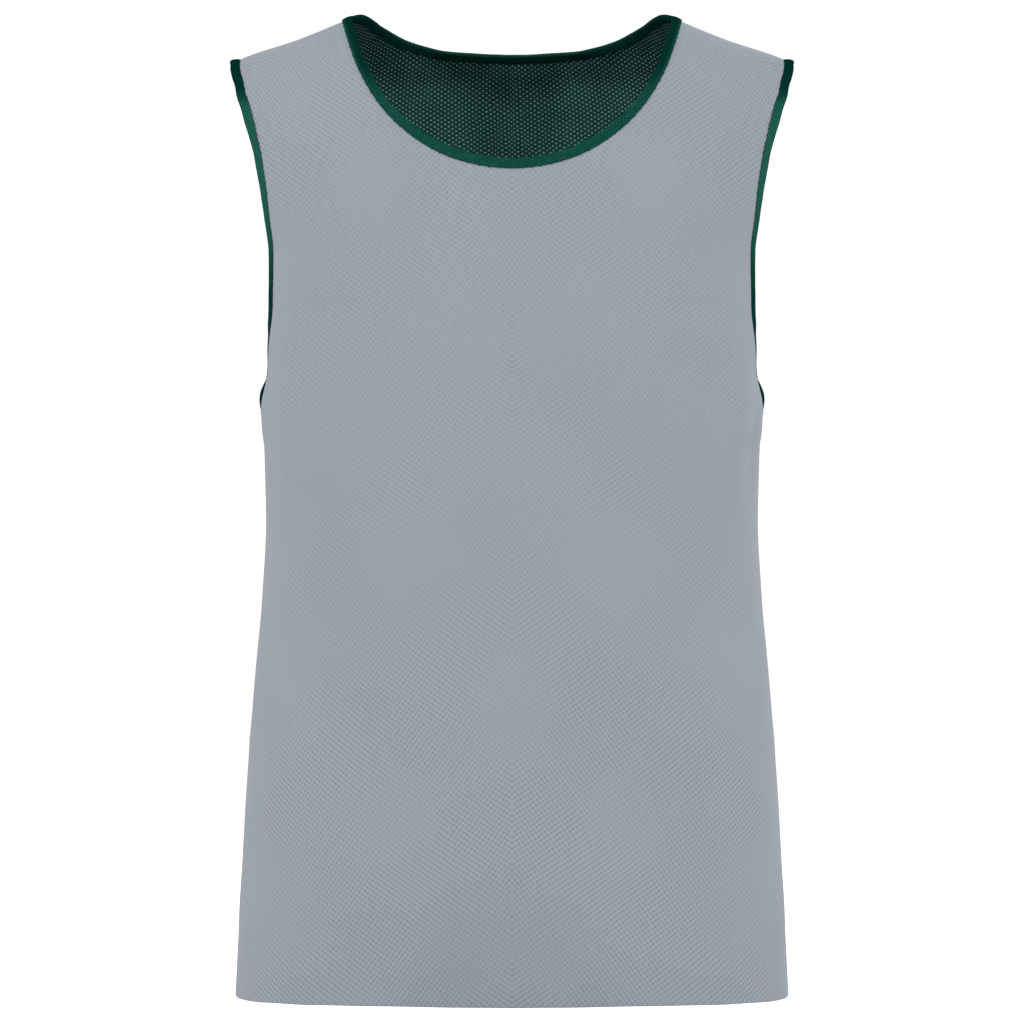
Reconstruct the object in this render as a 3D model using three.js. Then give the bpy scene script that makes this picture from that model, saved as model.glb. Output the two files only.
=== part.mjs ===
import * as THREE from 'three';
import { mergeVertices } from 'three/addons/utils/BufferGeometryUtils.js';

// Reversible training bib: a sleeveless tunic of two mesh layers, pale grey outside and dark green inside,
// bound with folded green strips at the neck and both armholes. It is filled out as if worn and hollow.
// Millimetres, +Z up. The front faces -Y. The origin lies midway between the shoulders, level with the
// neck end of the shoulder seams, where a wearer carries it.

// Cloth and seams
const OUTER_THICKNESS = 1.2;
const INNER_THICKNESS = 1.0;
const SEAM_GAP = 0.3;
const BINDING_WIDTH = 7;
const BINDING_PROUD = 0.8;
const WALL = OUTER_THICKNESS + SEAM_GAP + INNER_THICKNESS;

// Cut
const SHOULDER_TIP_Z = -29;
const UNDERARM_Z = -288;
const FRONT_NECK_DROP = 115.2;
const BACK_NECK_DROP = 24;
const HEM_SIDE_Z = -707.3;
const HEM_RISE = 1.9;
const HEM_CORNER_RISE = 3;

// Net of each panel: cells across half a panel, up the body and up the shoulder strap
const CELLS_ACROSS = 9;
const CELLS_BODY = 17;
const CELLS_STRAP = 14;
const SPREAD = 1.2;
const QUARTER_GIRTH = 256;

// The filled-out form, a rounded section at each height: half its width, how far it reaches to the front
// and to the back, and how square it is. Above the shoulder tips halfWidth is the line of the shoulder.
const SECTIONS = [
  { z: -712, halfWidth: 201.2, front: 118, back: 123, square: 2.4 },
  { z: -654, halfWidth: 198.2, front: 121, back: 121, square: 2.4 },
  { z: -567, halfWidth: 193.5, front: 123, back: 116, square: 2.4 },
  { z: -480, halfWidth: 186.9, front: 125, back: 112, square: 2.5 },
  { z: -422, halfWidth: 181.8, front: 126, back: 112, square: 2.5 },
  { z: -364, halfWidth: 178.6, front: 127, back: 116, square: 2.5 },
  { z: -325, halfWidth: 179.6, front: 127, back: 120, square: 2.6 },
  { z: -300, halfWidth: 181.9, front: 127, back: 123, square: 2.6 },
  { z: -276, halfWidth: 182.2, front: 127, back: 125, square: 2.6 },
  { z: -250, halfWidth: 178.6, front: 127, back: 127, square: 2.6 },
  { z: -225, halfWidth: 178.2, front: 126, back: 128, square: 2.6 },
  { z: -200, halfWidth: 179.4, front: 124, back: 128, square: 2.6 },
  { z: -170, halfWidth: 181, front: 121, back: 127, square: 2.6 },
  { z: -146, halfWidth: 187, front: 118, back: 124, square: 2.6 },
  { z: -124, halfWidth: 195, front: 113, back: 120, square: 2.6 },
  { z: -100, halfWidth: 206, front: 106, back: 114, square: 2.4 },
  { z: -80, halfWidth: 224, front: 97, back: 107, square: 2.1 },
  { z: -60, halfWidth: 234, front: 86, back: 99, square: 2 },
  { z: -45, halfWidth: 224, front: 79, back: 92, square: 2 },
  { z: -29, halfWidth: 198.5, front: 72, back: 85, square: 2 },
  { z: -15, halfWidth: 158.5, front: 66, back: 78, square: 2 },
  { z: 0, halfWidth: 122.5, front: 62, back: 70, square: 2 },
];

// Neck seam of each panel, from the centre line to the shoulder
const NECK_SEAM = {
  front: [
    { x: 0, z: -FRONT_NECK_DROP },
    { x: 22, z: -112.8 },
    { x: 45, z: -106 },
    { x: 67.5, z: -93.6 },
    { x: 90.5, z: -72.6 },
    { x: 108, z: -45 },
    { x: 118.5, z: -17 },
    { x: 122.5, z: 0 },
  ],
  back: [
    { x: 0, z: -BACK_NECK_DROP },
    { x: 29, z: -23 },
    { x: 54, z: -21 },
    { x: 80, z: -15 },
    { x: 92, z: -9.6 },
    { x: 101, z: -4 },
    { x: 108, z: 0.6 },
    { x: 114, z: 2.4 },
    { x: 122.5, z: 0 },
  ],
};

// Armhole seam of each panel, from the underarm to the shoulder tip: depth is how far it stands off the
// plane of the side seams
const ARMHOLE_SEAM = {
  front: [
    { depth: 0, z: UNDERARM_Z },
    { depth: 14, z: -284.5 },
    { depth: 28, z: -273 },
    { depth: 39, z: -254 },
    { depth: 46.5, z: -233 },
    { depth: 52, z: -212 },
    { depth: 54.5, z: -190 },
    { depth: 56, z: -163 },
    { depth: 61.5, z: -140 },
    { depth: 64.5, z: -121 },
    { depth: 62, z: -100 },
    { depth: 57.5, z: -80 },
    { depth: 51.5, z: -63 },
    { depth: 44, z: -50 },
    { depth: 33, z: -39 },
    { depth: 16, z: -31 },
    { depth: 0, z: SHOULDER_TIP_Z },
  ],
  back: [
    { depth: 0, z: UNDERARM_Z },
    { depth: 14, z: -284.5 },
    { depth: 29, z: -273 },
    { depth: 41, z: -253 },
    { depth: 49, z: -227 },
    { depth: 53, z: -196 },
    { depth: 56, z: -165 },
    { depth: 60.5, z: -140 },
    { depth: 63.5, z: -118 },
    { depth: 63, z: -95 },
    { depth: 60, z: -75 },
    { depth: 55, z: -57 },
    { depth: 41.5, z: -42 },
    { depth: 18.5, z: -31.5 },
    { depth: 0, z: SHOULDER_TIP_Z },
  ],
};

// Largest soft folds, each on both sides of the centre line: where it starts and ends, how wide it is and
// how deep the cloth sinks there. A negative depth is a ridge.
const FOLDS = {
  front: [
    { x1: 180, z1: -86, x2: 138, z2: -132, width: 13, depth: 2 },
    { x1: 176, z1: -262, x2: 170, z2: -340, width: 12, depth: 2.5 },
    { x1: 160, z1: -235, x2: 158, z2: -365, width: 11, depth: -1.5 },
    { x1: 188, z1: -425, x2: 150, z2: -452, width: 16, depth: 2 },
    { x1: 196, z1: -640, x2: 120, z2: -700, width: 20, depth: -2 },
  ],
  back: [
    { x1: 178, z1: -90, x2: 120, z2: -60, width: 15, depth: 2 },
    { x1: 176, z1: -268, x2: 150, z2: -330, width: 14, depth: 2.5 },
    { x1: 60, z1: -360, x2: 40, z2: -520, width: 26, depth: 3 },
    { x1: 184, z1: -430, x2: 140, z2: -465, width: 17, depth: 2.5 },
  ],
};

const FACING = { front: -1, back: 1 };
const GREY = { color: 0x9aa0a9, roughness: 0.85, metalness: 0 };
const GREEN = { color: 0x184b40, roughness: 0.85, metalness: 0 };

// A smooth curve through one column of the sections, as a function of height: monotone cubic pieces
function column(name) {
  const z = SECTIONS.map((row) => row.z);
  const v = SECTIONS.map((row) => row[name]);
  const slope = z.slice(1).map((zi, i) => (v[i + 1] - v[i]) / (zi - z[i]));
  const tangent = z.map((_, i) => {
    const before = slope[Math.max(i - 1, 0)];
    const after = slope[Math.min(i, slope.length - 1)];
    return before * after <= 0 ? 0 : (2 * before * after) / (before + after);
  });
  return (height) => {
    let i = z.findIndex((zi) => zi > height) - 1;
    if (i === -2) i = z.length - 2;
    i = Math.max(i, 0);
    const h = z[i + 1] - z[i];
    const s = (height - z[i]) / h;
    const rise = v[i + 1] - v[i];
    const a = h * tangent[i] - rise;
    const b = rise - h * tangent[i + 1];
    return v[i] + rise * s + s * (1 - s) * (a * (1 - s) + b * s);
  };
}

const FORM = {
  halfWidth: column('halfWidth'),
  front: column('front'),
  back: column('back'),
  square: column('square'),
};

// Share of the way round a panel, from 0 on the centre line to 1 at the side, of a point at x or at depth
function shareAtX(x, z) {
  const part = Math.min(x / FORM.halfWidth(z), 1);
  return ((2 / Math.PI) * Math.asin(part ** (FORM.square(z) / 2))) ** (1 / SPREAD);
}

function shareAtDepth(depth, z, side) {
  const part = Math.min(depth / FORM[side](z), 1);
  return ((2 / Math.PI) * Math.acos(part ** (FORM.square(z) / 2))) ** (1 / SPREAD);
}

// Point of the right half of the form at a share of the way round and a height
function formPoint(share, z, side) {
  const angle = (Math.PI / 2) * share ** SPREAD;
  const power = 2 / FORM.square(z);
  const x = FORM.halfWidth(z) * Math.sin(angle) ** power;
  const depth = FORM[side](z) * Math.max(Math.cos(angle), 0) ** power;
  const clear = share > 1 - 1e-9 ? SEAM_GAP / 2 : Math.max(depth, SEAM_GAP / 2);
  return new THREE.Vector3(x, FACING[side] * clear, z);
}

// Direction out of the cloth there, from the gradient of the section's equation
function formNormal(point, side) {
  const { z } = point;
  const step = 0.5;
  const square = FORM.square(z);
  const halfWidth = FORM.halfWidth(z);
  const reach = FORM[side](z);
  const widen = (FORM.halfWidth(z + step) - FORM.halfWidth(z - step)) / (2 * step);
  const deepen = (FORM[side](z + step) - FORM[side](z - step)) / (2 * step);
  const u = point.x / halfWidth;
  const w = Math.abs(point.y) < SEAM_GAP ? 0 : Math.abs(point.y) / reach;
  return new THREE.Vector3(
    u ** (square - 1) / halfWidth,
    (FACING[side] * w ** (square - 1)) / reach,
    (-(u ** square) * widen) / halfWidth - (w ** square * deepen) / reach,
  ).normalize();
}

// How deep the folds press the cloth in at a share of the way round and a height
function foldDepth(share, z, side) {
  let total = 0;
  for (const fold of FOLDS[side]) {
    const start = new THREE.Vector2(shareAtX(fold.x1, fold.z1) * QUARTER_GIRTH, fold.z1);
    const end = new THREE.Vector2(shareAtX(fold.x2, fold.z2) * QUARTER_GIRTH, fold.z2);
    const here = new THREE.Vector2(share * QUARTER_GIRTH, z);
    const along = end.clone().sub(start);
    const reach = THREE.MathUtils.clamp(here.clone().sub(start).dot(along) / along.lengthSq(), 0, 1);
    const away = here.distanceTo(start.clone().addScaledVector(along, reach));
    total += fold.depth * Math.exp(-((away / fold.width) ** 2)) * Math.sin(Math.PI * (0.15 + 0.7 * reach));
  }
  return total * THREE.MathUtils.smoothstep(1 - share, 0, 0.08);
}

// A vertex of the cloth: its place on the outer face and the direction out of it
function clothVertex(share, z, side) {
  const point = formPoint(share, z, side);
  const normal = formNormal(point, side);
  point.addScaledVector(normal, -foldDepth(share, z, side));
  return { point, normal };
}

// Seams as functions of how far along they are, from 0 at the centre line or underarm to 1 at the shoulder
function neckSeam(side) {
  const right = NECK_SEAM[side].map(({ x, z }) => new THREE.Vector3(x, 0, z));
  const left = NECK_SEAM[side].slice(1).reverse().map(({ x, z }) => new THREE.Vector3(-x, 0, z));
  const curve = new THREE.CatmullRomCurve3([...left, ...right]);
  return (f) => {
    const { x, z } = curve.getPointAt(0.5 + f / 2);
    return { share: f === 1 ? 1 : shareAtX(Math.abs(x), z), z };
  };
}

function armholeSeam(side) {
  const curve = new THREE.CatmullRomCurve3(
    ARMHOLE_SEAM[side].map(({ depth, z }) => new THREE.Vector3(0, depth, z)),
  );
  return (f) => {
    const { y, z } = curve.getPointAt(f);
    return { share: f === 0 || f === 1 ? 1 : shareAtDepth(Math.max(y, 0), z, side), z };
  };
}

// Net of the right half of a panel: rows of vertices from the hem up to the shoulder seam. Body rows run
// from the centre line to the side seam, strap rows from the neck seam to the armhole seam.
function halfPanelNet(side) {
  const neck = neckSeam(side);
  const armhole = armholeSeam(side);
  const neckBottom = neck(0).z;
  const rows = [];
  for (let i = 0; i <= CELLS_BODY; i++) {
    const f = i / CELLS_BODY;
    const from = { share: 0, z: THREE.MathUtils.lerp(HEM_SIDE_Z + HEM_RISE, neckBottom, f) };
    const to = { share: 1, z: THREE.MathUtils.lerp(HEM_SIDE_Z, UNDERARM_Z, f) };
    const lift = HEM_CORNER_RISE * (1 - f) ** 20;
    rows.push(netRow(from, to, (g) => THREE.MathUtils.lerp(levelEnds(g), levelSide(g), f), side, lift));
  }
  for (let i = 1; i <= CELLS_STRAP; i++) {
    const f = closerAtEnds(i / CELLS_STRAP);
    rows.push(netRow(neck(f), armhole(f), (g) => THREE.MathUtils.lerp(levelSide(g), g, f), side));
  }
  return rows;
}

// How far down a row has come, from 0 at its start to 1 at its end: level at the side alone, or at both ends
function levelSide(g) {
  return Math.sin((Math.PI / 2) * g);
}

function levelEnds(g) {
  return levelSide(g) ** 6;
}

// Strap rows lie closer together near the underarm and the shoulder, where the armhole turns
function closerAtEnds(f) {
  return (f + THREE.MathUtils.smoothstep(f, 0, 1)) / 2;
}

// A row of the net. The lift rounds off the hem's corner at the side seam.
function netRow(from, to, profile, side, lift = 0) {
  const row = [];
  for (let j = 0; j <= CELLS_ACROSS; j++) {
    const g = j / CELLS_ACROSS;
    const share = THREE.MathUtils.lerp(from.share, to.share, g);
    const z = THREE.MathUtils.lerp(from.z, to.z, profile(g)) + lift * g ** 30;
    row.push(clothVertex(share, z, side));
  }
  return row;
}

function moved({ point, normal }, offset) {
  return point.clone().addScaledVector(normal, offset);
}

// Edge of the half net, in order: hem, side seam, armhole, shoulder seam and neck, not the centre line
function halfPanelEdge(net) {
  const top = net.length - 1;
  const hem = net[0];
  const outerEdge = net.slice(1).map((row) => row[CELLS_ACROSS]);
  const shoulder = net[top].slice(0, -1).reverse();
  const neck = net.slice(CELLS_BODY, top).map((row) => row[0]).reverse();
  return [...hem, ...outerEdge, ...shoulder, ...neck];
}

function quad(list, a, b, c, d) {
  list.push(a, b, c, a, c, d);
}

// Closed wall of cloth between two offsets from the net, mirrored to make the whole panel
function panelGeometry(net, outerOffset, innerOffset) {
  const corners = [];
  for (let i = 0; i < net.length - 1; i++) {
    for (let j = 0; j < CELLS_ACROSS; j++) {
      const [a, b, c, d] = [net[i][j], net[i][j + 1], net[i + 1][j + 1], net[i + 1][j]];
      quad(corners, ...[a, b, c, d].map((vertex) => moved(vertex, outerOffset)));
      quad(corners, ...[a, d, c, b].map((vertex) => moved(vertex, innerOffset)));
    }
  }
  const edge = halfPanelEdge(net);
  for (let i = 0; i < edge.length - 1; i++) {
    quad(
      corners,
      moved(edge[i + 1], outerOffset),
      moved(edge[i], outerOffset),
      moved(edge[i], innerOffset),
      moved(edge[i + 1], innerOffset),
    );
  }
  return closedGeometry([...corners, ...mirrored(corners)]);
}

function mirrored(corners) {
  return corners.map((p) => new THREE.Vector3(-p.x, p.y, p.z)).reverse();
}

// Welds triangle corners into one mesh whose faces point out
function closedGeometry(corners) {
  let volume = 0;
  for (let i = 0; i < corners.length; i += 3) {
    volume += corners[i].dot(corners[i + 1].clone().cross(corners[i + 2]));
  }
  const outward = volume > 0 ? corners : [...corners].reverse();
  const geometry = new THREE.BufferGeometry().setFromPoints(outward);
  const welded = mergeVertices(geometry, 1e-4);
  welded.computeVertexNormals();
  return welded;
}

// Section of a folded binding strip: e runs from the seam to the fold, n out of the cloth
function bindingSection() {
  const top = BINDING_PROUD;
  const bottom = -WALL - BINDING_PROUD;
  const middle = (top + bottom) / 2;
  const half = (top - bottom) / 2;
  const fold = SEAM_GAP + BINDING_WIDTH;
  return [
    { e: SEAM_GAP, n: bottom },
    { e: SEAM_GAP, n: top },
    { e: fold - half, n: top },
    { e: fold - 0.3 * half, n: middle + 0.7 * half },
    { e: fold, n: middle },
    { e: fold - 0.3 * half, n: middle - 0.7 * half },
    { e: fold - half, n: bottom },
  ];
}

// Solid strip that follows a seam's vertices. An open strip ends square on the shoulder seam.
function bindingGeometry(seam, closed, turn) {
  const section = bindingSection();
  const count = seam.length;
  const rings = seam.map(({ point, normal }, i) => {
    const before = closed ? seam[(i + count - 1) % count] : seam[Math.max(i - 1, 0)];
    const after = closed ? seam[(i + 1) % count] : seam[Math.min(i + 1, count - 1)];
    const along = after.point.clone().sub(before.point);
    if (!closed && (i === 0 || i === count - 1)) along.set(0, Math.sign(along.y), 0);
    const inPlane = along.cross(normal).normalize().multiplyScalar(turn);
    return section.map(({ e, n }) => point.clone().addScaledVector(inPlane, e).addScaledVector(normal, n));
  });
  const corners = [];
  const last = closed ? count : count - 1;
  for (let i = 0; i < last; i++) {
    const here = rings[i];
    const next = rings[(i + 1) % count];
    for (let k = 0; k < section.length; k++) {
      const m = (k + 1) % section.length;
      quad(corners, here[k], here[m], next[m], next[k]);
    }
  }
  if (!closed) {
    for (let k = 1; k < section.length - 1; k++) {
      corners.push(rings[0][0], rings[0][k + 1], rings[0][k]);
      corners.push(rings[last][0], rings[last][k], rings[last][k + 1]);
    }
  }
  return closedGeometry(corners);
}

function mirroredVertex({ point, normal }) {
  return {
    point: new THREE.Vector3(-point.x, point.y, point.z),
    normal: new THREE.Vector3(-normal.x, normal.y, normal.z),
  };
}

function addPiece(group, name, geometry, finish) {
  const mesh = new THREE.Mesh(geometry, new THREE.MeshStandardMaterial(finish));
  mesh.name = name;
  group.add(mesh);
}

function addPanels(group, side, net) {
  addPiece(group, `${side}_outer`, panelGeometry(net, 0, -OUTER_THICKNESS), GREY);
  addPiece(group, `${side}_inner`, panelGeometry(net, -OUTER_THICKNESS - SEAM_GAP, -WALL), GREEN);
}

// Neck binding of one panel, from the left shoulder seam to the right one
function addNeckBinding(group, side, net) {
  const right = net.slice(CELLS_BODY).map((row) => row[0]);
  const left = right.slice(1).reverse().map(mirroredVertex);
  addPiece(group, `neck_binding_${side}`, bindingGeometry([...left, ...right], false, FACING[side]), GREEN);
}

// Armhole binding: up the front from the underarm, over the shoulder tip and down the back
function addArmholeBindings(group, frontNet, backNet) {
  const edge = (net) => net.slice(CELLS_BODY).map((row) => row[CELLS_ACROSS]);
  const up = edge(frontNet);
  const down = edge(backNet).slice(1, -1).reverse();
  const underarm = centred(up[0]);
  const tip = centred(up[up.length - 1]);
  const right = [underarm, ...up.slice(1, -1), tip, ...down];
  addPiece(group, 'armhole_binding_right', bindingGeometry(right, true, 1), GREEN);
  addPiece(group, 'armhole_binding_left', bindingGeometry(right.map(mirroredVertex), true, -1), GREEN);
}

// The same vertex on the plane between the front and back panels
function centred({ point, normal }) {
  return { point: new THREE.Vector3(point.x, 0, point.z), normal };
}

const bib = new THREE.Group();
const frontNet = halfPanelNet('front');
const backNet = halfPanelNet('back');
addPanels(bib, 'front', frontNet);
addPanels(bib, 'back', backNet);
addNeckBinding(bib, 'front', frontNet);
addNeckBinding(bib, 'back', backNet);
addArmholeBindings(bib, frontNet, backNet);

export default bib;
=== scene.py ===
"""Looks of the reversible training bib: two mesh layers with bound edges, filled out as if worn.

Sizes are in millimetres up to the point where a mesh is made. Frame: +Z up, the front faces -Y.
"""
import math

import bpy
import numpy as np
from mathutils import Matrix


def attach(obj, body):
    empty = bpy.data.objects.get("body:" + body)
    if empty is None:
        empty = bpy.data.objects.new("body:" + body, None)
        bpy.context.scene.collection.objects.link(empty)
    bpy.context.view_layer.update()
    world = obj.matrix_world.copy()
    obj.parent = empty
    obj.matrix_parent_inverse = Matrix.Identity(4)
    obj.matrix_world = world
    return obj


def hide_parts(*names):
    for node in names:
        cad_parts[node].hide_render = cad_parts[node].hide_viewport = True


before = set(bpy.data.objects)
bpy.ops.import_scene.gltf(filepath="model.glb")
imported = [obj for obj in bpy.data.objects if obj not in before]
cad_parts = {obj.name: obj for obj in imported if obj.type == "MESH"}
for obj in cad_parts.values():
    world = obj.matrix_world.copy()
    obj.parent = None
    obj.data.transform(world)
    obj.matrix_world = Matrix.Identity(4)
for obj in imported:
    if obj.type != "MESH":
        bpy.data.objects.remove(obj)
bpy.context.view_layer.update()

MM = 0.001

# Cloth and seams, as in the part's source
OUTER_THICKNESS = 1.2
SEAM_GAP = 0.3
INNER_THICKNESS = 1.0
WALL = OUTER_THICKNESS + SEAM_GAP + INNER_THICKNESS
BINDING_WIDTH = 7.0
UNDERARM_Z = -288.0
HEM_SIDE_Z = -707.3
HEM_RISE = 1.9
HEM_CORNER_RISE = 3.0
SPREAD = 1.2
QUARTER_GIRTH = 256.0

# Layers in this script: how far the middle of each lies out from the form's surface, and its thickness
OUTER_MIDDLE = -0.5
INNER_MIDDLE = -1.95
LAYER_THICKNESS = 0.7

# Folded strips: cloth thickness, length of a mesh cell along them, and lanes of their bake layout
STRIP_THICKNESS = 0.5
STRIP_STEP = 1.3
BAKE_LANES = 6

# Cells of each panel's net
CELLS_ACROSS = 56
CELLS_BODY = 118
CELLS_STRAP = 104
FLAT_ACROSS = 14
FLAT_BODY = 30
FLAT_STRAP = 16

# Laying flat: rounds of the springs, and how far each goes beyond its own correction
SPRING_ROUNDS = 2600
SPRING_PACE = 1.7

# Bar stitches along the bindings: distance between them, thickness and length
STITCH_PITCH = 7.3
STITCH_RADIUS = 0.36
STITCH_REACH = 1.25
STITCH_RINGS = 5
STITCH_SIDES = 6

# Knit: distance between ribs, between holes across and along, and between the painted highlight spots on
# the fold, and where the fold lies across a strip and the hem on a panel, in their own coordinates
GREY_RIB = 0.62
GREEN_RIB = 0.65
BINDING_WEFT = 0.9
GREEN_HOLES = (5.22, 3.48)
GREEN_TURN = 2.0
BINDING_HOLES = (3.6, 2.6)
HIGHLIGHT_SPOTS = 3.5
FOLD_AT = 9.4
HEM_MIDDLE = -707.0

# Depth of the knit's relief, in metres
GREY_RELIEF = 0.00012
GREEN_RELIEF = 0.00018
BINDING_RELIEF = 0.00026

# Camera and floor, in metres, with the lens and sensor in millimetres
CAMERA_DISTANCE = 3.5
CAMERA_Z = -0.3575
FOCAL_LENGTH = 169.2
SENSOR_WIDTH = 36
FLOOR_Z = -0.80
FLOOR_HALF = 15.0

# Light: strength of the white surroundings, and the height that the lamps aim at, in metres
SURROUNDINGS = 1.06
AIM_Z = -0.36


def table(names, rows):
    """Columns of a short table by name"""
    columns = np.array(rows, float).T
    return dict(zip(names.split(), columns))


# The filled-out form: half its width, its reach to the front and to the back, and how square it is
SECTIONS = table(
    "z half_width front back square",
    [
        (-712, 201.2, 118, 123, 2.4),
        (-654, 198.2, 121, 121, 2.4),
        (-567, 193.5, 123, 116, 2.4),
        (-480, 186.9, 125, 112, 2.5),
        (-422, 181.8, 126, 112, 2.5),
        (-364, 178.6, 127, 116, 2.5),
        (-325, 179.4, 127, 120, 2.6),
        (-310, 179.9, 127, 122, 2.6),
        (-299, 181.5, 127, 123, 2.6),
        (-280, 182.2, 127, 125, 2.6),
        (-250, 178.6, 127, 127, 2.6),
        (-225, 178.2, 126, 128, 2.6),
        (-200, 179.4, 124, 128, 2.6),
        (-170, 181, 121, 127, 2.6),
        (-146, 187, 118, 124, 2.6),
        (-124, 195, 113, 120, 2.6),
        (-100, 206, 106, 114, 2.4),
        (-80, 224, 97, 107, 2.1),
        (-60, 234, 86, 99, 2),
        (-45, 224, 79, 92, 2),
        (-29, 198.5, 72, 85, 2),
        (-15, 158.5, 66, 78, 2),
        (0, 122.5, 62, 70, 2),
    ],
)

# Neck seam from the centre line to the shoulder
NECK_SEAM = {
    "front": table(
        "x z",
        [
            (0, -114.8),
            (22, -112.6),
            (45, -105.9),
            (67.5, -93.3),
            (90.5, -71.6),
            (108, -43.4),
            (118.5, -14.5),
            (122.5, 0),
        ],
    ),
    "back": table(
        "x z",
        [
            (0, -22.6),
            (29, -21.6),
            (54, -19.6),
            (80, -13.7),
            (92, -8.4),
            (101, -3.4),
            (108, 0.8),
            (114, 2.4),
            (122.5, 0),
        ],
    ),
}

# Armhole seam from the underarm to the shoulder tip
ARMHOLE_SEAM = {
    "front": table(
        "depth z",
        [
            (0, -288),
            (8, -286.4),
            (16.5, -280),
            (25, -270),
            (34.5, -254),
            (43.5, -233),
            (50.6, -212),
            (54.2, -190),
            (56.6, -163),
            (61.3, -140),
            (64.6, -121),
            (61.9, -100),
            (57.2, -80),
            (51.2, -63),
            (43.4, -50),
            (32, -39),
            (16, -31),
            (0, -29),
        ],
    ),
    "back": table(
        "depth z",
        [
            (0, -288),
            (9, -286.8),
            (19, -281),
            (29, -271.5),
            (40.5, -253),
            (48.5, -227),
            (53, -196),
            (56.3, -165),
            (60.5, -140),
            (63.5, -118),
            (63, -95),
            (60, -75),
            (55, -57),
            (41.5, -42),
            (18.5, -31.5),
            (0, -29),
        ],
    ),
}

# Soft folds on both sides of the centre line. A positive depth sinks, a negative one is a ridge.
FOLD_COLUMNS = "x1 z1 x2 z2 width depth"
FOLDS = {
    "front": table(
        FOLD_COLUMNS,
        [
            (180, -86, 138, -132, 13, 2),
            (176, -262, 170, -340, 12, 2.5),
            (160, -235, 158, -365, 11, -1.5),
            (188, -425, 150, -452, 16, 2),
            (196, -640, 120, -700, 20, -2),
            (165, -70, 128, -104, 7, -0.9),
            (132, -150, 120, -178, 12, -1.1),
            (60, -218, 162, -212, 7, 1.0),
            (70, -231, 158, -226, 8, -0.8),
            (62, -230, 8, -400, 17, 1.2),
            (0, -128, 0, -176, 18, -1.0),
            (154, -450, 92, -474, 15, -1.5),
            (180, -478, 120, -506, 14, 1.1),
            (190, -520, 160, -540, 12, -1.0),
            (0, -560, 0, -700, 42, 1.6),
            (196, -702, 60, -668, 14, -1.2),
            (110, -560, 84, -690, 24, 0.9),
            (36, -300, 90, -420, 22, -0.8),
            (120, -330, 112, -430, 13, 0.8),
        ],
    ),
    "back": table(
        FOLD_COLUMNS,
        [
            (178, -90, 120, -60, 15, 2),
            (176, -268, 150, -330, 14, 2.5),
            (60, -360, 40, -520, 26, 3),
            (184, -430, 140, -465, 17, 2.5),
            (104, -8, 66, -22, 7, -2.0),
            (96, -24, 50, -32, 6, 2.2),
            (62, -34, 0, -40, 8, -1.6),
            (30, -55, 0, -66, 11, 3.0),
            (66, -58, 34, -70, 9, -1.4),
            (36, -86, 0, -94, 11, -2.2),
            (70, -92, 38, -104, 12, 1.8),
            (0, -122, 0, -156, 22, -0.8),
            (160, -120, 96, -150, 14, -1.2),
            (150, -150, 80, -196, 12, 1.3),
            (22, -200, 16, -330, 20, -1.3),
            (120, -220, 92, -330, 16, -1.4),
            (148, -470, 84, -500, 15, -1.6),
            (170, -540, 130, -580, 16, 1.3),
            (0, -420, 0, -640, 30, -1.4),
            (90, -560, 76, -700, 22, 1.5),
            (150, -600, 140, -704, 17, -1.3),
        ],
    ),
}

FACING = {"front": -1.0, "back": 1.0}


def column(name):
    """Smooth monotone curve through one column of the sections, as a function of height"""
    z, v = SECTIONS["z"], SECTIONS[name]
    span = np.diff(z)
    slope = np.diff(v) / span
    before = np.concatenate([slope[:1], slope])
    after = np.concatenate([slope, slope[-1:]])
    turns = before * after <= 0
    tangent = np.where(turns, 0, 2 * before * after / np.where(turns, 1, before + after))

    def at(height):
        height = np.asarray(height, float)
        i = np.clip(np.searchsorted(z, height, side="right") - 1, 0, len(z) - 2)
        s = (height - z[i]) / span[i]
        rise = v[i + 1] - v[i]
        a = span[i] * tangent[i] - rise
        b = rise - span[i] * tangent[i + 1]
        return v[i] + rise * s + s * (1 - s) * (a * (1 - s) + b * s)

    return at


FORM = {name: column(name) for name in ("half_width", "front", "back", "square")}


def smoothstep(t):
    """Soft step from 0 to 1"""
    t = np.clip(t, 0, 1)
    return t * t * (3 - 2 * t)


def lerp(a, b, t):
    return a + (b - a) * t


def unit(vectors):
    return vectors / np.linalg.norm(vectors, axis=-1, keepdims=True)


def running_length(points):
    """Length along a line of points, from 0 at its start"""
    return np.concatenate([[0], np.cumsum(np.linalg.norm(np.diff(points, axis=0), axis=1))])


def share_at_x(x, z):
    """Share of the way round a panel, from 0 on the centre line to 1 at the side"""
    part = np.minimum(np.abs(x) / FORM["half_width"](z), 1)
    return (2 / np.pi * np.arcsin(part ** (FORM["square"](z) / 2))) ** (1 / SPREAD)


def share_at_depth(depth, z, side):
    """The same share, from the distance in front of or behind the side seams"""
    part = np.minimum(depth / FORM[side](z), 1)
    return (2 / np.pi * np.arccos(part ** (FORM["square"](z) / 2))) ** (1 / SPREAD)


def form_point(share, z, side):
    """Points on the right half of the form"""
    angle = np.pi / 2 * share**SPREAD
    power = 2 / FORM["square"](z)
    x = FORM["half_width"](z) * np.sin(angle) ** power
    depth = FORM[side](z) * np.maximum(np.cos(angle), 0) ** power
    depth = np.where(share > 1 - 1e-9, SEAM_GAP / 2, np.maximum(depth, SEAM_GAP / 2))
    return np.stack([x, FACING[side] * depth, z], -1)


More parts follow.
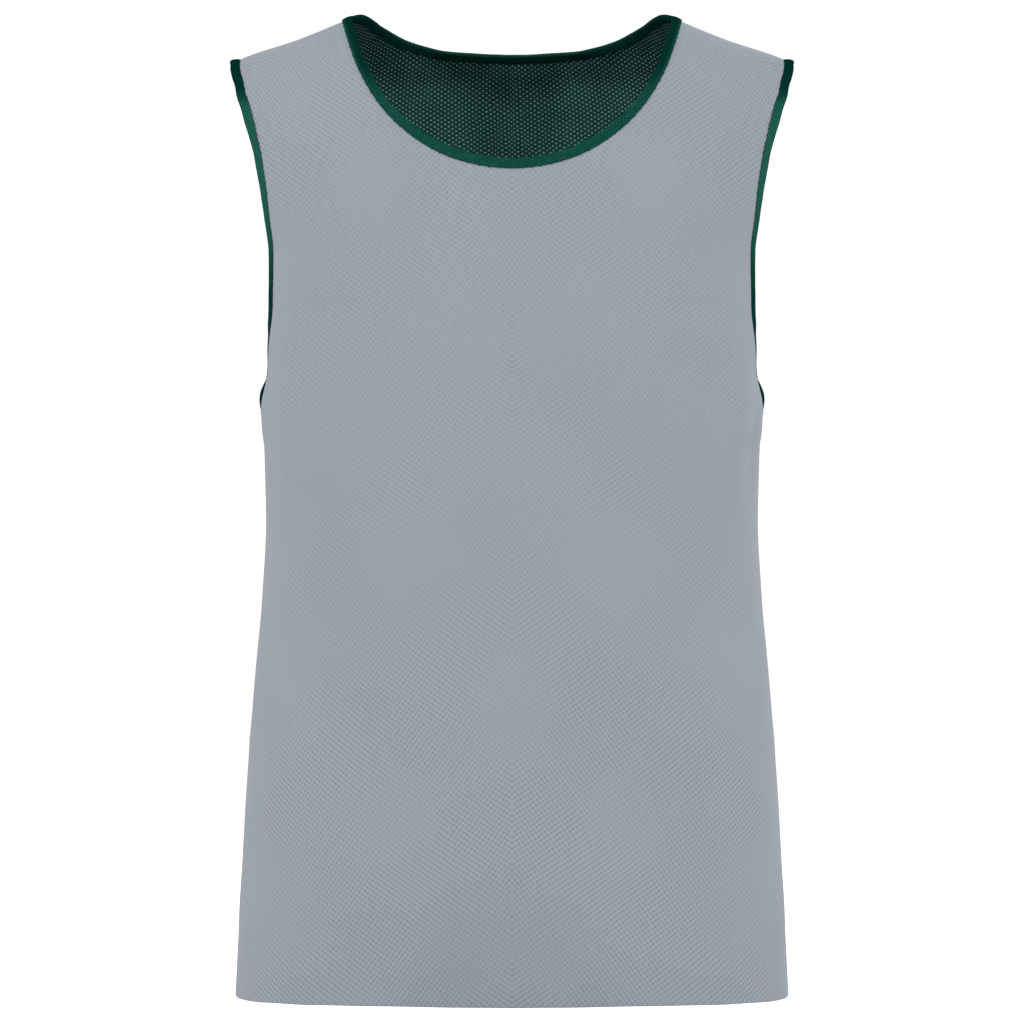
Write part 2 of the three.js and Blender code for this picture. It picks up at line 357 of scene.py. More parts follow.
def form_normal(point, side):
    """Directions out of the cloth, from the gradient of the section's equation"""
    z = point[..., 2]
    square = FORM["square"](z)
    half_width, reach = FORM["half_width"](z), FORM[side](z)
    widen = FORM["half_width"](z + 0.5) - FORM["half_width"](z - 0.5)
    deepen = FORM[side](z + 0.5) - FORM[side](z - 0.5)
    u = point[..., 0] / half_width
    w = np.where(np.abs(point[..., 1]) < SEAM_GAP, 0, np.abs(point[..., 1]) / reach)
    normal = np.stack(
        [
            u ** (square - 1) / half_width,
            FACING[side] * w ** (square - 1) / reach,
            -(u**square) * widen / half_width - w**square * deepen / reach,
        ],
        -1,
    )
    return unit(normal)


def fold_depth(share, z, side):
    """How deep the folds press the cloth in"""
    folds = FOLDS[side]
    total = np.zeros_like(share)
    for i in range(len(folds["x1"])):
        x1, z1, x2, z2, width, depth = (folds[name][i] for name in FOLD_COLUMNS.split())
        start = np.array([share_at_x(x1, z1) * QUARTER_GIRTH, z1])
        along = np.array([share_at_x(x2, z2) * QUARTER_GIRTH, z2]) - start
        here = np.stack([share * QUARTER_GIRTH, z], -1)
        reach = np.clip((here - start) @ along / (along @ along), 0, 1)
        away = np.linalg.norm(here - start - reach[..., None] * along, axis=-1)
        total += depth * np.exp(-((away / width) ** 2)) * np.sin(np.pi * (0.15 + 0.7 * reach))
    return total * smoothstep((1 - share) / 0.08)


def smooth_line(points):
    """Point at a share of the length of a centripetal Catmull-Rom line through the points"""
    p = np.asarray(points, float)
    p = np.vstack([2 * p[0] - p[1], p, 2 * p[-1] - p[-2]])
    dense = []
    for i in range(1, len(p) - 2):
        near = p[i - 1 : i + 3]
        knot = np.cumsum([0, *(np.linalg.norm(np.diff(near, axis=0), axis=1) ** 0.5)])
        t = np.linspace(knot[1], knot[2], 40, endpoint=i == len(p) - 3)[:, None]

        def between(a, b, i, j):
            return (knot[j] - t) / (knot[j] - knot[i]) * a + (t - knot[i]) / (knot[j] - knot[i]) * b

        first = [between(near[k], near[k + 1], k, k + 1) for k in range(3)]
        second = [between(first[k], first[k + 1], k, k + 2) for k in range(2)]
        dense.append(between(second[0], second[1], 1, 2))
    dense = np.vstack(dense)
    length = running_length(dense)

    def at(f):
        return [np.interp(np.asarray(f) * length[-1], length, dense[:, k]) for k in range(2)]

    return at


def neck_seam(side):
    """Seam as (share round, height) by its own share, from 0 on the centre line to 1 at the shoulder"""
    x, z = NECK_SEAM[side]["x"], NECK_SEAM[side]["z"]
    line = smooth_line(np.stack([np.concatenate([-x[:0:-1], x]), np.concatenate([z[:0:-1], z])], -1))

    def at(f):
        x, z = line(0.5 + np.asarray(f) / 2)
        return np.where(np.asarray(f) > 1 - 1e-9, 1, share_at_x(x, z)), z

    return at


def armhole_seam(side):
    """Seam as (share round, height) by its own share, from 0 at the underarm to 1 at the shoulder"""
    line = smooth_line(np.stack([ARMHOLE_SEAM[side]["depth"], ARMHOLE_SEAM[side]["z"]], -1))

    def at(f):
        f = np.asarray(f)
        depth, z = line(f)
        ends = (f < 1e-9) | (f > 1 - 1e-9)
        return np.where(ends, 1, share_at_depth(np.maximum(depth, 0), z, side)), z

    return at


def level_side(g):
    """How far down a row has come, from 0 at its start to 1 at its end, level at the side"""
    return np.sin(np.pi / 2 * g)


def closer_at_ends(f, amount=0.5):
    """Even steps from 0 to 1, made smaller towards both ends"""
    return lerp(f, smoothstep(f), amount)


def half_net(side, across, body, strap):
    """Rows of (share round, height) over the right half of a panel, from the hem to the shoulder seam"""
    g = closer_at_ends(np.linspace(0, 1, across + 1), 0.6)[None, :]
    neck, armhole = neck_seam(side), armhole_seam(side)
    f = np.linspace(0, 1, body + 1)[:, None]
    f = lerp(f, f**0.9, 0.5)
    drop = lerp(level_side(g) ** 6, level_side(g), f)
    body_share = np.broadcast_to(g, drop.shape)
    body_z = lerp(lerp(HEM_SIDE_Z + HEM_RISE, neck(0.0)[1], f), lerp(HEM_SIDE_Z, UNDERARM_Z, f), drop)
    body_z = body_z + HEM_CORNER_RISE * (1 - f) ** 20 * g**30
    uneven = 0.15 + 0.6 * bell((g - 0.32) / 0.2) + 0.2 * np.sin(31 * g) * g
    body_z = body_z + (1 - f) ** 12 * np.where(side == "front", uneven, 0.8 * uneven[:, ::-1])
    h = closer_at_ends(np.linspace(0, 1, strap + 1)[1:])[:, None]
    (neck_share, neck_z), (arm_share, arm_z) = neck(h), armhole(h)
    strap_share = lerp(neck_share, arm_share, g)
    strap_z = lerp(neck_z, arm_z, lerp(level_side(g), g, h))
    share = np.vstack([body_share, strap_share])
    rows = np.concatenate([f[:, 0], 1 + h[:, 0]])
    return share, np.vstack([body_z, strap_z]), rows, g[0]


def arc_round(share, z, side):
    """Length round the form from the centre line at constant height"""
    steps = np.linspace(0, 1, 33)
    heights = np.broadcast_to(z[..., None], share.shape + steps.shape)
    points = form_point(share[..., None] * steps * (1 - 1e-7), heights, side)
    return np.linalg.norm(np.diff(points, axis=-2), axis=-1).sum(-1)


def flat_piece(side):
    """The half panel laid flat, as it was cut: springs keep the net's edges and diagonals at length"""
    share, z, rows, across = half_net(side, FLAT_ACROSS, FLAT_BODY, FLAT_STRAP)
    points = form_point(share, z, side)
    flat = np.stack([arc_round(share, z, side), np.where(z < -120, z, -120 + (z + 120) * 1.3)], -1)
    shape = share.shape
    index = np.arange(share.size).reshape(shape)
    pairs = [
        (index[:, :-1], index[:, 1:]),
        (index[:-1], index[1:]),
        (index[:-1, :-1], index[1:, 1:]),
        (index[:-1, 1:], index[1:, :-1]),
    ]
    a = np.concatenate([first.ravel() for first, _ in pairs])
    b = np.concatenate([second.ravel() for _, second in pairs])
    solid, flat = points.reshape(-1, 3), flat.reshape(-1, 2)
    length = np.linalg.norm(solid[a] - solid[b], axis=1)
    count = np.bincount(np.concatenate([a, b]), minlength=len(flat))[:, None]
    centre = index[: FLAT_BODY + 1, 0]
    for _ in range(SPRING_ROUNDS):
        apart = flat[b] - flat[a]
        now = np.linalg.norm(apart, axis=1)
        pull = apart * (0.5 * (now - length) / now)[:, None]
        shift = np.stack([np.bincount(a, p, len(flat)) - np.bincount(b, p, len(flat)) for p in pull.T], -1)
        flat = flat + shift / count * SPRING_PACE
        flat[centre, 0] = 0
    return flat.reshape(shape + (2,)), rows, across


def spread_flat(flat, rows, across, rows_to, across_to):
    """The flat piece's coordinates at the rows and columns of a finer net"""
    wide = np.stack(
        [np.stack([np.interp(across_to, across, line[:, k]) for line in flat]) for k in range(2)], -1
    )
    return np.stack(
        [
            np.stack([np.interp(rows_to, rows, wide[:, j, k]) for j in range(wide.shape[1])], 1)
            for k in range(2)
        ],
        -1,
    )


def cut_size(flat):
    """Width, length and area of the whole flat piece, in metres and square metres"""
    a, b, c, d = flat[:-1, :-1], flat[:-1, 1:], flat[1:, 1:], flat[1:, :-1]

    def cross(p, q):
        return p[..., 0] * q[..., 1] - p[..., 1] * q[..., 0]

    half = 0.5 * np.abs(cross(c - a, d - b)).sum()
    width = 2 * flat[..., 0].max()
    length = flat[..., 1].max() - flat[..., 1].min()
    return float(width * MM), float(length * MM), float(2 * half * MM * MM)


def seam_distance(points, seam):
    """Distance of each point from a line of points"""
    flatter = points.reshape(-1, 3)
    best = np.full(len(flatter), 1e9)
    for start in range(0, len(seam), 40):
        away = flatter[:, None] - seam[None, start : start + 40]
        best = np.minimum(best, np.einsum("ijk,ijk->ij", away, away).min(1))
    return np.sqrt(best).reshape(points.shape[:-1])


def wave(s, phase):
    """Uneven gentle wave along a seam, between about -1 and 1"""
    main, short, long = np.sin(s / 5.3 + phase), np.sin(s / 2.9 + 2.1 * phase), np.sin(s / 8.9 - phase)
    return 0.5 * main + 0.35 * short + 0.25 * long


def bell(t):
    return np.exp(-(t**2))


def armhole_lift(z, side):
    """How far the armhole's edge stands out: low on the back it flares beyond the front, and shows dark"""
    if side == "front":
        return 0.8 * bell((z + 236) / 14) - 1.0 * bell((z + 268) / 10)
    return 2.9 * bell((z + 272.5) / 12.5)


def armhole_curl(z, y):
    """How far the binding turns in low on the front, and up at the shoulder, in radians"""
    turned = smoothstep((z + 288) / 14) * smoothstep((-222 - z) / 30)
    return np.where(y < 0, 1.1 * turned, 0) - 0.34 * smoothstep((z + 50) / 16)


def seam_points(side, kind, count=160):
    """Points and normals on a panel's edge on the right half"""
    f = np.linspace(0, 1, count)
    share, z = (neck_seam if kind == "neck" else armhole_seam)(side)(f)
    point = form_point(share, z, side)
    normal = form_normal(point, side)
    out = -fold_depth(share, z, side)
    if kind == "armhole":
        out = out + armhole_lift(z, side)
    return point + normal * out[:, None], normal


# Hem of the outer layer, rolled in: how far inward and down, and how far below the hem on the flat piece
HEM_ROLL = table(
    "inward down below",
    [
        (1.05, 0.95, 1.1),
        (0.55, 0.85, 0.7),
        (0.14, 0.45, 0.35),
    ],
)


def layer_net(side, middle, hem_roll):
    """Middle surface of one layer of a half panel, its flat coordinates, and the rows that the roll adds"""
    share, z, rows, across = half_net(side, CELLS_ACROSS, CELLS_BODY, CELLS_STRAP)
    point = form_point(share, z, side)
    normal = form_normal(point, side)
    sunk = fold_depth(share, z, side)
    neck_away = seam_distance(point, seam_points(side, "neck")[0])
    arm_away = seam_distance(point, seam_points(side, "armhole")[0])
    sunk = sunk + 0.3 * wave(z + share * 90, 0.4) * np.exp(-neck_away / 7) * smoothstep(neck_away / 3)
    sunk = sunk + 0.35 * wave(z * 0.8, 1.7) * np.exp(-arm_away / 9) * smoothstep(arm_away / 3)
    sunk = sunk - armhole_lift(z, side) * bell(arm_away / (8 if side == "front" else 15))
    side_away = np.where(z < UNDERARM_Z, (1 - share) * QUARTER_GIRTH, 1e3)
    shoulder_away = np.where(rows[:, None] > 1.5, (2 - rows[:, None]) * 150, 1e3)
    for away in (side_away, shoulder_away):
        sunk = sunk + 0.7 * np.exp(-((away / 2) ** 2))
    point = point + normal * (middle - sunk)[..., None]
    flat = spread_flat(*FLAT[side], rows, across)
    if hem_roll:
        inward, down, below = (values[:, None, None] for values in HEM_ROLL.values())
        point = np.concatenate([point[:1] - normal[:1] * inward - np.array([0, 0, 1]) * down, point])
        flat = np.concatenate([flat[:1] - np.array([0, 1]) * below, flat])
    return point, flat, len(point) - len(rows)


def make_object(name, vertices, faces, loops_uv, material):
    """Mesh object in metres from millimetres, with the named UV maps"""
    mesh = bpy.data.meshes.new(name)
    mesh.from_pydata((np.asarray(vertices) * MM).tolist(), [], faces)
    for uv_name, values in loops_uv.items():
        layer = mesh.uv_layers.new(name=uv_name)
        layer.data.foreach_set("uv", np.asarray(values, np.float32).ravel())
    mesh.polygons.foreach_set("use_smooth", [True] * len(mesh.polygons))
    mesh.materials.append(material)
    mesh.validate()
    mesh.update()
    piece = bpy.data.objects.new(name, mesh)
    bpy.context.scene.collection.objects.link(piece)
    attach(piece, "root")
    return piece


def panel_faces(rows, columns, body_rows):
    """Vertex numbers on a panel's right and left half, which share the centre line, and all its quads"""
    right = np.arange(rows * columns).reshape(rows, columns)
    left = np.full((rows, columns), -1)
    left[: body_rows + 1, 0] = right[: body_rows + 1, 0]
    new = left < 0
    left[new] = rows * columns + np.arange(new.sum())
    quads = []
    for grid, flip in ((right, False), (left, True)):
        a, b, c, d = grid[:-1, :-1], grid[:-1, 1:], grid[1:, 1:], grid[1:, :-1]
        corners = (a, b, c, d) if not flip else (a, d, c, b)
        quads.append(np.stack([corner.ravel() for corner in corners], -1))
    return right, left, np.vstack(quads)


def vertex_normals(points, quads):
    """Directions out of a surface of quads, at its points"""
    across = points[quads[:, 2]] - points[quads[:, 0]]
    up = points[quads[:, 3]] - points[quads[:, 1]]
    face = np.cross(across, up)
    normal = np.zeros_like(points)
    for k in range(4):
        for axis in range(3):
            normal[:, axis] += np.bincount(quads[:, k], face[:, axis], len(points))
    return unit(normal)


def thin_shell(points, quads, thickness):
    """Closed shell on a surface: vertices, faces, and the quads' corners that give each face its UV"""
    normal = vertex_normals(points, quads) * thickness / 2
    corner = np.arange(quads.size).reshape(quads.shape)
    start, end = quads.ravel(), np.roll(quads, -1, axis=1).ravel()
    key = np.minimum(start, end) * 10**7 + np.maximum(start, end)
    _, first, count = np.unique(key, return_index=True, return_counts=True)
    single = first[count == 1]
    following = np.roll(corner, -1, axis=1).ravel()[single]
    under = len(points)
    walls = np.stack([end[single], start[single], start[single] + under, end[single] + under], -1)
    faces = np.vstack([quads, quads[:, ::-1] + under, walls])
    sources = np.vstack([corner, corner[:, ::-1], np.stack([following, single, single, following], -1)])
    return np.vstack([points + normal, points - normal]), faces, sources


def faced(showing, other, quads, sources):
    """Bake UV: one layout on the shell's outer faces, another on its inner ones and its rim"""
    return np.vstack([showing[sources[: len(quads)]], other[sources[len(quads) :]]]).reshape(-1, 2)


def make_panel(side, layer, material):
    """One layer of a panel as a thin closed shell with its cut's coordinates as UV"""
    outer = layer == "outer"
    half, flat, extra = layer_net(side, OUTER_MIDDLE if outer else INNER_MIDDLE, outer)
    rows, columns = half.shape[:2]
    right, left, quads = panel_faces(rows, columns, CELLS_BODY + extra)
    total = left.max() + 1
    points, uv = np.zeros((total, 3)), np.zeros((total, 2))
    points[right], uv[right] = half, flat
    points[left], uv[left] = half * (-1, 1, 1), flat * (-1, 1)
    if side == "back":
        quads = quads[:, ::-1]
    shell, faces, sources = thin_shell(points, quads, LAYER_THICKNESS)
    corner_uv = uv[quads].reshape(-1, 2)
    low, high = corner_uv.min(0), corner_uv.max(0)
    placed = (corner_uv - low) / (high - low).max()
    large = placed * 0.985 + 0.003
    small = placed * 0.24 + 0.745
    bake = faced(*((large, small) if outer else (small, large)), quads, sources)
    piece = make_object(
        f"{side}_{layer}_cloth",
        shell,
        faces.tolist(),
        {"Cloth": corner_uv[sources].reshape(-1, 2), "OFBake": bake},
        material,
    )
    width, length, area = cut_size(FLAT[side][0])
    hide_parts(f"{side}_{layer}")


def strip_section():
    """Middle line of the folded strip round the edge: e from the seam to the fold, n out of the cloth"""
    fold = SEAM_GAP + BINDING_WIDTH
    upper = [(-0.5, 0.02), (-0.42, 0.34), (-0.1, 0.52), (0.7, 0.62), (1.9, 0.76), (3.4, 0.82), (4.7, 0.66)]
    middle = -WALL / 2
    flat_to, top = upper[-1]
    reach, out = top - middle, fold - 0.2 - flat_to
    turn = np.linspace(0, np.pi, 9)[1:-1]
    round_fold = [(flat_to + out * math.sin(t) ** 0.85, middle + reach * math.cos(t)) for t in turn]
    lower = [(e, 2 * middle - n) for e, n in reversed(upper)]
    return np.array(upper + round_fold + lower).T


# Width of each strip against its section's, from its middle or underarm to the shoulder
STRIP_WIDTHS = {
    "neck_front": table(
        "share width",
        [(0, 1), (0.3, 0.98), (0.45, 0.88), (0.7, 0.82), (0.85, 0.76), (1, 0.98)],
    ),
    "neck_back": table("share width", [(0, 0.82), (0.5, 0.84), (0.8, 0.95), (1, 1.1)]),
    "armhole": table(
        "share width",
        [
            (0, 0.92),
            (0.12, 1.05),
            (0.2, 1.14),
            (0.33, 1.12),
            (0.5, 1.02),
            (0.74, 1.05),
            (0.8, 0.93),
            (0.87, 0.88),
            (0.95, 0.85),
            (1, 0.86),
        ],
    ),
}


def strip_path(point, normal, closed):
    """The seam in even steps: length along it, points, normals and directions along it"""
    if closed:
        point, normal = np.vstack([point, point[:1]]), np.vstack([normal, normal[:1]])
    length = running_length(point)
    s = np.linspace(0, length[-1], int(length[-1] / STRIP_STEP) + 1)
    point = np.stack([np.interp(s, length, point[:, k]) for k in range(3)], -1)
    normal = np.stack([np.interp(s, length, normal[:, k]) for k in range(3)], -1)
    if closed:
        point, normal = point[:-1], sum(np.roll(normal[:-1], k, 0) for k in range(-3, 4))
        along = np.roll(point, -2, 0) - np.roll(point, 2, 0)
    else:
        along = np.gradient(point, axis=0)
        along[[0, -1]] = (0, np.sign(along[0][1]), 0), (0, np.sign(along[-1][1]), 0)
    return s, point, unit(normal), along


def strip_shape(kind, s, point, phase):
    """At each step along a strip: its width as a share, how far it lifts, turns in and is tucked under"""
    at = s[: len(point)]
    share = np.abs(1 - 2 * at / s[-1])
    lift = 0.08 * wave(at * 1.3, phase + 1)
    if kind == "armhole":
        share = 1 - share
        curl = armhole_curl(point[:, 2], point[:, 1])
        tucked = 1.1 * bell((point[:, 2] - UNDERARM_Z) / 6)
    else:
        end = np.minimum(at, s[-1] - at)
        lift = lift + 0.35 * np.exp(-((end / 3.2) ** 2)) - 0.4 * np.exp(-((end / 0.9) ** 2))
        curl = tucked = np.zeros(len(point))
    widths = STRIP_WIDTHS[kind]
    width = np.interp(share, widths["share"], widths["width"]) + 0.012 * wave(at, phase)
    return width, lift, curl, tucked


def strip_uv(s, around, quads, closed):
    """UV of the quads' corners: along and round the strip, and its two layouts in lanes for the bake"""
    i, k = quads // len(around), quads % len(around)
    wrapped = closed & (i == 0) & (i.max(1, keepdims=True) == i.max())
    s_at = np.where(wrapped, s[-1], s[i])
    lane = np.minimum((s_at.min(1, keepdims=True) / s[-1] * BAKE_LANES).astype(int), BAKE_LANES - 1)
    part = np.clip(s_at / s[-1] * BAKE_LANES - lane, 0, 1)
    level = (lane + 0.04 + 0.9 * around[k] / around[-1]) / BAKE_LANES
    places = (s_at, around[k]), (0.004 + part * 0.68, level), (0.70 + part * 0.29, level)
    return [np.stack(place, -1).reshape(-1, 2) for place in places]


def make_strip(name, kind, point, normal, turn, material, node, phase):
    """Strip of mesh folded round a seam's edge, uneven in width. Its seam is returned for the stitches."""
    closed = kind == "armhole"
    s, point, normal, along = strip_path(point, normal, closed)
    across = unit(np.cross(along, normal) * turn)
    width, lift, curl, tucked = strip_shape(kind, s, point, phase)
    point = point - normal * (WALL / 2 + tucked)[:, None] - across * (0.95 * np.sin(curl))[:, None]
    cos, sin = np.cos(curl)[:, None], np.sin(curl)[:, None]
    across, normal = across * cos - normal * sin, normal * cos + across * sin
    e, n = strip_section()
    lift = lift[:, None] * np.where(n > -WALL / 2, 1, -1) * smoothstep((e + 1) / 1.5)
    points = (
        point[:, None]
        + across[:, None] * (e[None, :] * np.where(e > 0, width[:, None], 1))[..., None]
        + normal[:, None] * (n[None, :] + WALL / 2 + lift)[..., None]
    ).reshape(-1, 3)
    index = np.arange(len(points)).reshape(-1, len(e))
    here, after = (index, np.roll(index, -1, 0)) if closed else (index[:-1], index[1:])
    corners = (here[:, :-1], here[:, 1:], after[:, 1:], after[:, :-1])
    quads = np.stack([corner.ravel() for corner in corners], -1)
    on_top = index[:, 4]
    if (vertex_normals(points, quads)[on_top] * normal).sum() < 0:
        quads = quads[:, ::-1]
    around = running_length(np.stack([e, n], -1))
    corner_uv, seen, hidden = strip_uv(s, around, quads, closed)
    shell, faces, sources = thin_shell(points, quads, STRIP_THICKNESS)
    piece = make_object(
        name,
        shell,
        faces.tolist(),
        {"Cloth": corner_uv[sources].reshape(-1, 2), "OFBake": faced(seen, hidden, quads, sources)},
        material,
    )
    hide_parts(node)
    return point + normal * WALL / 2, normal, across


class Graph:
    """Short calls for a material's nodes"""

    def __init__(self, name):
        self.material = bpy.data.materials.new(name)
        self.material.use_nodes = True
        self.tree = self.material.node_tree
        self.shader = self.tree.nodes["Principled BSDF"]

    def node(self, kind, **settings):
        made = self.tree.nodes.new(kind)
        for key, value in settings.items():
            setattr(made, key, value)
        return made

    def feed(self, socket, value):
        if isinstance(value, bpy.types.NodeSocket):
            self.tree.links.new(value, socket)
        else:
            socket.default_value = value

    def math(self, operation, *values):
        made = self.node("ShaderNodeMath", operation=operation)
        for socket, value in zip(made.inputs, values):
            self.feed(socket, value)
        return made.outputs[0]

    def total(self, first, *values):
        for value in values:
            first = self.math("ADD", first, value)
        return first

    def product(self, first, *values):
        for value in values:
            first = self.math("MULTIPLY", first, value)
        return first

    def ripple(self, value, spacing, operation="SINE"):
        """Wave with its crests that far apart"""
        return self.math(operation, self.product(value, 2 * math.pi / spacing))

    def ramp(self, value, low, high, to_low=0.0, to_high=1.0):
        made = self.node("ShaderNodeMapRange", interpolation_type="SMOOTHSTEP")
        for socket, given in zip(made.inputs, (value, low, high, to_low, to_high)):
            self.feed(socket, given)
        return made.outputs[0]

    def mix(self, factor, first, second):
        made = self.node("ShaderNodeMix", data_type="RGBA")
        self.feed(made.inputs[0], factor)
        self.feed(made.inputs[6], first)
        self.feed(made.inputs[7], second)
        return made.outputs[2]

    def noise(self, vector, scale, detail=2.0):
        made = self.node("ShaderNodeTexNoise")
        self.feed(made.inputs["Vector"], vector)
        made.inputs["Scale"].default_value = scale
        made.inputs["Detail"].default_value = detail
        return made.outputs[0]

    def cloth(self):
        """The cloth's own coordinates in millimetres, as sockets"""
        uv = self.node("ShaderNodeUVMap", uv_map="Cloth")
        split = self.node("ShaderNodeSeparateXYZ")
        self.feed(split.inputs[0], uv.outputs[0])
        return uv.outputs[0], split.outputs[0], split.outputs[1]

    def lattice(self, u, v, spacing):
        """Staggered lattice of knit holes: 1 at each hole, with columns half the first spacing apart"""
        return self.product(self.ripple(u, spacing[0], "COSINE"), self.ripple(v, spacing[1], "COSINE"))

    def turned(self, u, v, degrees):
        c, s = math.cos(math.radians(degrees)), math.sin(math.radians(degrees))
        return (
            self.total(self.product(u, c), self.product(v, s)),
            self.math("SUBTRACT", self.product(v, c), self.product(u, s)),
        )

    def bump(self, height, distance, strength=1.0):
        made = self.node("ShaderNodeBump")
        made.inputs["Strength"].default_value = strength
        made.inputs["Distance"].default_value = distance
        self.feed(made.inputs["Height"], height)
        self.feed(self.shader.inputs["Normal"], made.outputs[0])

    def finish(self, colour, roughness, sheen, specular=0.1):
        self.feed(self.shader.inputs["Base Color"], colour)
        self.shader.inputs["Roughness"].default_value = roughness
        self.shader.inputs["Specular IOR Level"].default_value = specular
        self.shader.inputs["Sheen Weight"].default_value = sheen
        self.shader.inputs["Sheen Roughness"].default_value = 0.5
        return self.material


# Colours, linear
GREY = (0.2475, 0.2685, 0.302, 1)
GREY_SHADE = (0.227, 0.2495, 0.2785, 1)
GREY_HOLE = (0.112, 0.135, 0.147, 1)
# Yarn and holes of the inner mesh, each in a shaded and a lit copy for painted light
GREEN = (0.0010, 0.0150, 0.0115, 1)
GREEN_LIT = (0.0110, 0.0620, 0.0510, 1)
DIM_HOLE = (0.080, 0.135, 0.130, 1)
PALE_HOLE = (0.240, 0.375, 0.362, 1)
# Binding yarn, with copies for painted shade (also the holes' colour) and painted light, and near-black
# painted shade for its inner side
BINDING_GREEN = (0.0077, 0.0600, 0.0442, 1)
BINDING_DARK = (0.0007, 0.0198, 0.0156, 1)
BINDING_LIT = (0.0124, 0.0820, 0.0590, 1)
BINDING_INSIDE = (0.0012, 0.0085, 0.0066, 1)
# Painted highlight on the binding's fold
BINDING_HIGHLIGHT = (0.05, 0.16, 0.135, 1)
FLOOR = (0.965, 0.965, 0.965, 1)

# Lines of holes in the grey mesh and in the turned layer beneath: cycles per millimetre along and up,
# and the spacing along and up of the patches in which each set is stronger
HOLE_LINES = table(
    "along up patch_u patch_v start",
    [
        (0.178, -0.251, 190, 150, 0.4),
        (0.283, 0.211, 140, -210, 2.7),
        (0.178, 0.251, 96, -130, 4.1),
        (0.283, -0.211, 120, 92, 1.2),
        (0.461, -0.040, 170, 260, 5.0),
    ],
)


def grey_holes(g, u, v):
    """How open the grey mesh is: lines of holes in patches, drifting a little, the same on both halves"""
    both = g.node("ShaderNodeCombineXYZ")
    g.feed(both.inputs[0], u)
    g.feed(both.inputs[1], v)
    place = both.outputs[0]
    drift = g.product(g.math("SUBTRACT", g.noise(place, 0.011, 1.0), 0.5), 6.0)
    wander = g.product(g.math("SUBTRACT", g.noise(place, 0.016, 1.0), 0.5), 4.0)
    u1 = g.total(u, drift)
    v1 = g.math("SUBTRACT", v, g.product(drift, 0.7))
    upper = g.ramp(v, -430.0, -180.0, 0.2, 0.62)
    lower = g.ramp(v, -500.0, -380.0, 0.6, 0.15)
    strengths = (1.0, 1.0, upper, upper, lower)
    lines = []
    for strength, along, up, patch_u, patch_v, start in zip(strengths, *HOLE_LINES.values()):
        phase = g.total(g.product(u1, 2 * math.pi * along), g.product(v1, 2 * math.pi * up))
        around = g.total(g.product(u, 2 * math.pi / patch_u), wander, g.product(v, 2 * math.pi / patch_v))
        patch = g.ramp(g.math("SINE", g.total(around, start)), -0.8, 0.9, 0.35, 1.0)
        lines.append(g.product(g.math("COSINE", phase), g.product(patch, strength)))
    return g.ramp(g.total(*lines), -0.7, 2.1)


def grey_mesh():
    """Pale grey athletic mesh: fine lines of holes, crossed by the lattice of the layer beneath"""
    g = Graph("grey_mesh")
    uv, u, v = g.cloth()
    u = g.math("ABSOLUTE", u)
    hole = grey_holes(g, u, v)
    low_down = g.ramp(v, -560.0, -360.0, 0.58, 0.32)
    near_shoulder = g.ramp(v, -170.0, -60.0, 0.0, 0.08)
    near_side = g.ramp(u, 120.0, 215.0, 0.0, 0.16)
    depth = g.total(near_shoulder, near_side, low_down)
    even = g.product(g.math("SUBTRACT", hole, 0.24), depth)
    # Painted shade: darker towards the hole colour in a fan over the middle of the hem
    across = g.total(u, g.product(g.math("SUBTRACT", v, HEM_MIDDLE), 0.45))
    hem_painted_shade = g.product(g.ramp(v, -655.0, -590.0, 0.13, 0.0), g.ramp(across, 55.0, 110.0, 1.0, 0.15))
    tone = g.ramp(g.noise(uv, 0.008, 3.0), 0.3, 0.7, 0.0, 0.5)
    base = g.mix(tone, GREY, GREY_SHADE)
    colour = g.mix(g.total(even, hem_painted_shade, 0.2), base, GREY_HOLE)
    height = g.total(g.product(hole, -1.0), g.product(g.ripple(u, GREY_RIB), 0.12))
    g.bump(height, GREY_RELIEF, 0.7)
    return g.finish(colour, 0.82, 0.05)


def green_mesh():
    """Dark green athletic mesh from its inner side: the pale outer layer shows through its round holes"""
    g = Graph("green_mesh")
    uv, u, v = g.cloth()
    hole = g.ramp(g.lattice(*g.turned(u, v, GREEN_TURN), GREEN_HOLES), 0.32, 0.85)
    tone = g.product(g.ramp(g.noise(uv, 0.03, 3.0), 0.3, 0.7), 0.3)
    # Painted light through the neck: lit colours below the back neck, weaker lower down, plus random tone
    # from the noise
    lower_beside = g.ramp(g.math("ABSOLUTE", u), 22.0, 55.0, 0.0, 17.0)
    painted_light_below_neck = g.ramp(g.math("SUBTRACT", v, lower_beside), -26.0, -64.0, 0.0, 0.76)
    lit = g.total(tone, g.product(painted_light_below_neck, g.ramp(v, -74.0, -96.0, 1.0, 0.56)))
    yarn = g.mix(lit, GREEN, GREEN_LIT)
    colour = g.mix(hole, yarn, g.mix(lit, DIM_HOLE, PALE_HOLE))
    height = g.total(g.product(hole, -1.0), g.product(g.ripple(u, GREEN_RIB), 0.12))
    g.bump(height, GREEN_RELIEF, 0.8)
    return g.finish(colour, 0.85, 0.0, 0.05)


